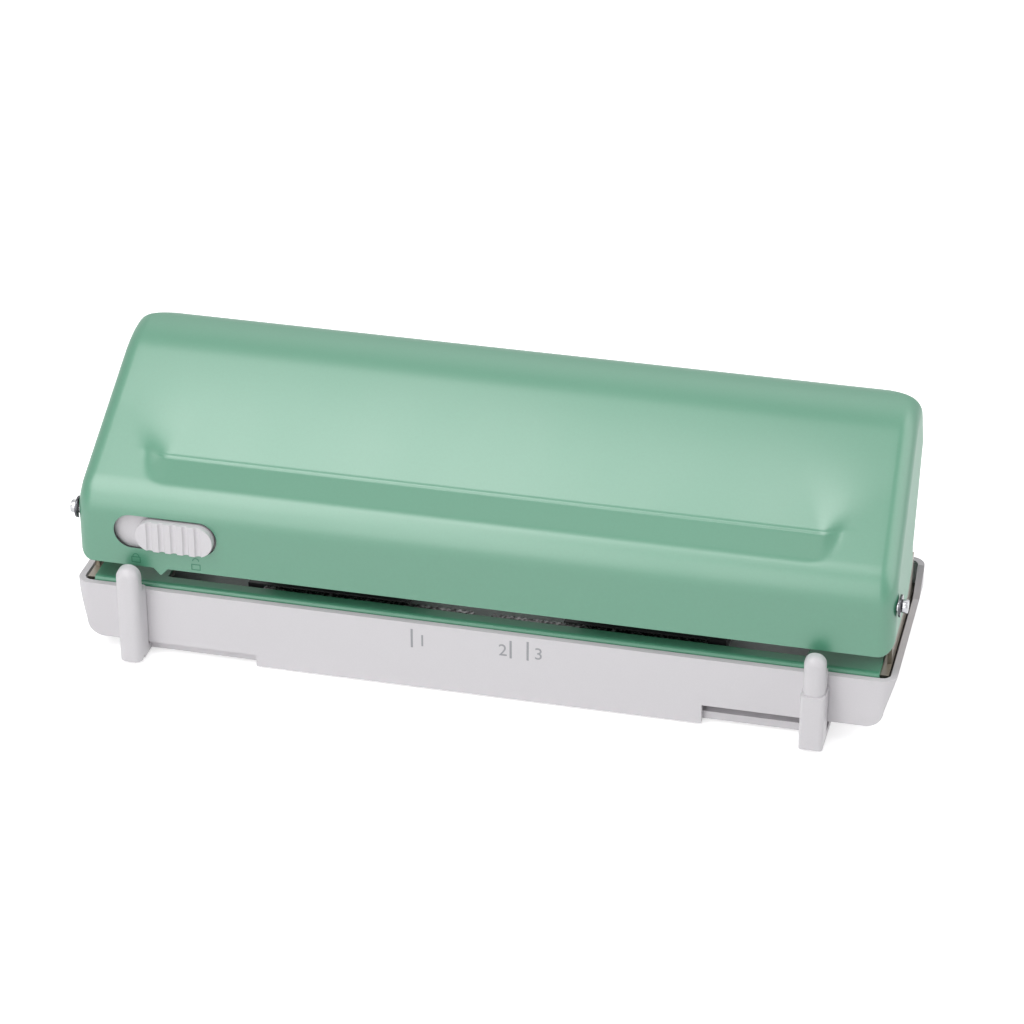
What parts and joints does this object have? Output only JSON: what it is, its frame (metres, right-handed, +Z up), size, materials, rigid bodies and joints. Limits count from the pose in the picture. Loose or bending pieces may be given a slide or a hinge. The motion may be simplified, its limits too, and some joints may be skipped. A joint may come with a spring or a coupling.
{
  "type": "adjustable hole punch",
  "caption": "Long desk punch with a sloping sprung lever over a bed and chip tray; punch carriages slide on a rod to set the hole pattern, and sliding paper guides set the sheet.",
  "frame": {"origin": "on the table under the middle of the object", "axes": "+X along the length to the right, +Y from the front to the back, +Z up"},
  "size_m": [0.2794, 0.0846, 0.0965],
  "materials": {
    "white_plastic": "satin moulded plastic",
    "green_paint": "satin paint on pressed sheet",
    "bare_steel": "plain rolled sheet",
    "bright_steel": "bright plated",
    "black_steel": "blackened steel",
    "rubber": "matte"
  },
  "bodies": {
    "tray": {"base_tray": "white_plastic", "rubber_feet": "rubber", "guide_keepers": "bare_steel", "keeper_screws": "bare_steel"},
    "frame": {"chassis": "bare_steel", "bed_plate": "green_paint", "bed_screws": "bright_steel", "left_rack": "black_steel", "right_rack": "black_steel", "guide_rod": "bright_steel", "rod_clips": "black_steel", "left_pivot_pin": "bright_steel", "right_pivot_pin": "bright_steel", "pivot_clips": "bright_steel", "lock_keeper": "bare_steel"},
    "lever": {"lever_shell": "green_paint", "press_bar": "bare_steel"},
    "lock": {"lock_cap": "white_plastic", "lock_plate": "white_plastic"},
    "left_guide": {"left_paper_guide": "white_plastic"},
    "right_guide": {"right_guide_bar": "white_plastic", "right_guide_peg": "white_plastic"},
    "left_unit": {"left_carriage": "black_steel", "left_plunger": "bright_steel", "left_spring_1": "bright_steel", "left_spring_2": "bright_steel", "left_spring_3": "bright_steel"},
    "left_punch_1_body": {"left_punch_1": "bright_steel", "left_cap_1": "bare_steel"},
    "left_punch_2_body": {"left_punch_2": "bright_steel", "left_cap_2": "bare_steel"},
    "left_punch_3_body": {"left_punch_3": "bright_steel", "left_cap_3": "bare_steel"},
    "right_unit": {"right_carriage": "black_steel", "right_plunger": "bright_steel", "right_spring_1": "bright_steel", "right_spring_2": "bright_steel", "right_spring_3": "bright_steel"},
    "right_punch_1_body": {"right_punch_1": "bright_steel", "right_cap_1": "bare_steel"},
    "right_punch_2_body": {"right_punch_2": "bright_steel", "right_cap_2": "bare_steel"},
    "right_punch_3_body": {"right_punch_3": "bright_steel", "right_cap_3": "bare_steel"}
  },
  "joints": [
    {"name": "frame_lift", "type": "slide", "parent": "tray", "child": "frame", "axis": [0, 0, 1], "range_m": [0, 0.045]},
    {"name": "lever_press", "type": "hinge", "parent": "frame", "child": "lever", "pos_m": [0, -0.02718, 0.05], "axis": [-1, 0, 0], "range_deg": [0, 12], "stiffness_Nm_per_rad": 4, "springref_deg": -6.88},
    {"name": "lock_slide", "type": "slide", "parent": "lever", "child": "lock", "axis": [-1, 0, 0], "range_m": [0, 0.0076]},
    {"name": "left_guide_slide", "type": "slide", "parent": "tray", "child": "left_guide", "axis": [1, 0, 0], "range_m": [-0.015, 0.034]},
    {"name": "right_guide_slide", "type": "slide", "parent": "tray", "child": "right_guide", "axis": [-1, 0, 0], "range_m": [-0.016, 0.032]},
    {"name": "left_unit_slide", "type": "slide", "parent": "frame", "child": "left_unit", "axis": [1, 0, 0], "range_m": [0, 0.0255]},
    {"name": "right_unit_slide", "type": "slide", "parent": "frame", "child": "right_unit", "axis": [-1, 0, 0], "range_m": [0, 0.0255]},
    {"name": "left_punch_1_stroke", "type": "slide", "parent": "left_unit", "child": "left_punch_1_body", "axis": [0, 0, -1], "range_m": [0, 0.00725], "deforming": ["left_spring_1"]},
    {"name": "left_punch_2_stroke", "type": "slide", "parent": "left_unit", "child": "left_punch_2_body", "axis": [0, 0, -1], "range_m": [0, 0.00725], "deforming": ["left_spring_2"]},
    {"name": "left_punch_3_stroke", "type": "slide", "parent": "left_unit", "child": "left_punch_3_body", "axis": [0, 0, -1], "range_m": [0, 0.00725], "deforming": ["left_spring_3"]},
    {"name": "right_punch_1_stroke", "type": "slide", "parent": "right_unit", "child": "right_punch_1_body", "axis": [0, 0, -1], "range_m": [0, 0.00725], "deforming": ["right_spring_1"]},
    {"name": "right_punch_2_stroke", "type": "slide", "parent": "right_unit", "child": "right_punch_2_body", "axis": [0, 0, -1], "range_m": [0, 0.00725], "deforming": ["right_spring_2"]},
    {"name": "right_punch_3_stroke", "type": "slide", "parent": "right_unit", "child": "right_punch_3_body", "axis": [0, 0, -1], "range_m": [0, 0.00725], "deforming": ["right_spring_3"]}
  ],
  "couplings": [
    {"joint": "left_punch_1_stroke", "follows": "lever_press", "m_per_rad": 0.034622},
    {"joint": "left_punch_2_stroke", "follows": "lever_press", "m_per_rad": 0.034622},
    {"joint": "left_punch_3_stroke", "follows": "lever_press", "m_per_rad": 0.034622},
    {"joint": "right_punch_1_stroke", "follows": "lever_press", "m_per_rad": 0.034622},
    {"joint": "right_punch_2_stroke", "follows": "lever_press", "m_per_rad": 0.034622},
    {"joint": "right_punch_3_stroke", "follows": "lever_press", "m_per_rad": 0.034622}
  ]
}
